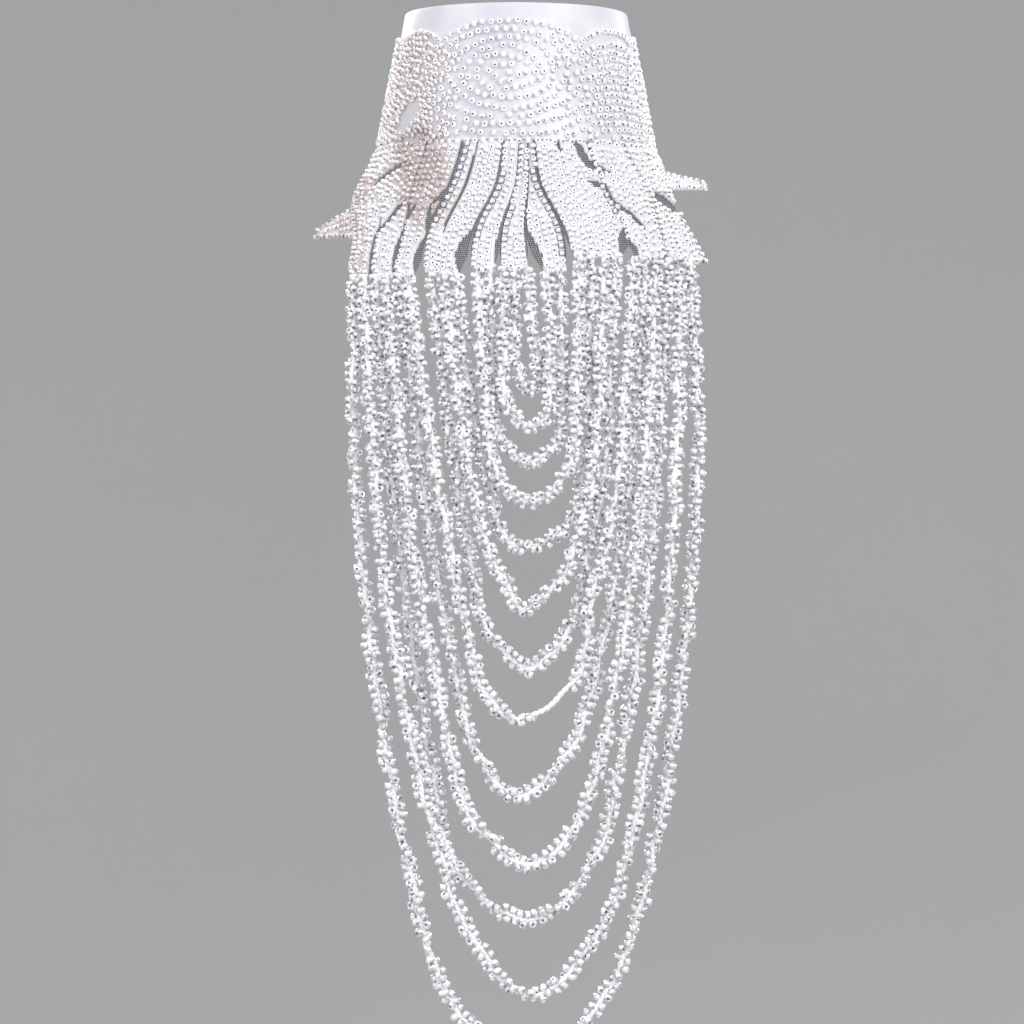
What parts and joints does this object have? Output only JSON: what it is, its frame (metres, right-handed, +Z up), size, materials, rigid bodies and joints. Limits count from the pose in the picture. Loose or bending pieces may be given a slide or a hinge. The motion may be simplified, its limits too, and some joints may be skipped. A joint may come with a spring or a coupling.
{
  "type": "beaded bib choker",
  "caption": "Tall satin neck collar paved with glass beads, with beaded tongues on net below it and nested festoons of bead strands that hang over the chest.",
  "frame": {"origin": "on the axis of the neck at the lower edge of the satin collar", "axes": "+Z up along the neck, -Y the way the wearer faces, +X to the right of someone who faces the wearer"},
  "size_m": [0.173, 0.1868, 0.4481],
  "materials": {
    "satin": "white duchess satin with a soft lavender-grey sheen",
    "glass_beads": "clear silver-lined round glass rocailles sewn close together",
    "bead_strand": "clear silver-lined rocailles on a twisted white thread core",
    "tulle": "fine grey tulle",
    "clasp_metal": "plain silver-coloured metal"
  },
  "bodies": {
    "root": {"satin_band": "satin", "back_clasp": "clasp_metal", "scroll_applique": "glass_beads", "net_yoke": "tulle", "tongue_01": "glass_beads", "tongue_02": "glass_beads", "tongue_03": "glass_beads", "tongue_04": "glass_beads", "tongue_05": "glass_beads", "tongue_06": "glass_beads", "tongue_07": "glass_beads", "tongue_08": "glass_beads", "tongue_09": "glass_beads", "tongue_10": "glass_beads", "wing_tip_left": "glass_beads", "wing_tip_right": "glass_beads", "strand_01": "bead_strand", "strand_02": "bead_strand", "strand_03": "bead_strand", "strand_04": "bead_strand", "strand_05": "bead_strand", "strand_06": "bead_strand", "strand_07": "bead_strand", "strand_08": "bead_strand", "strand_09": "bead_strand", "strand_10": "bead_strand", "strand_11": "bead_strand", "strand_12": "bead_strand", "strand_13": "bead_strand"}
  },
  "joints": []
}
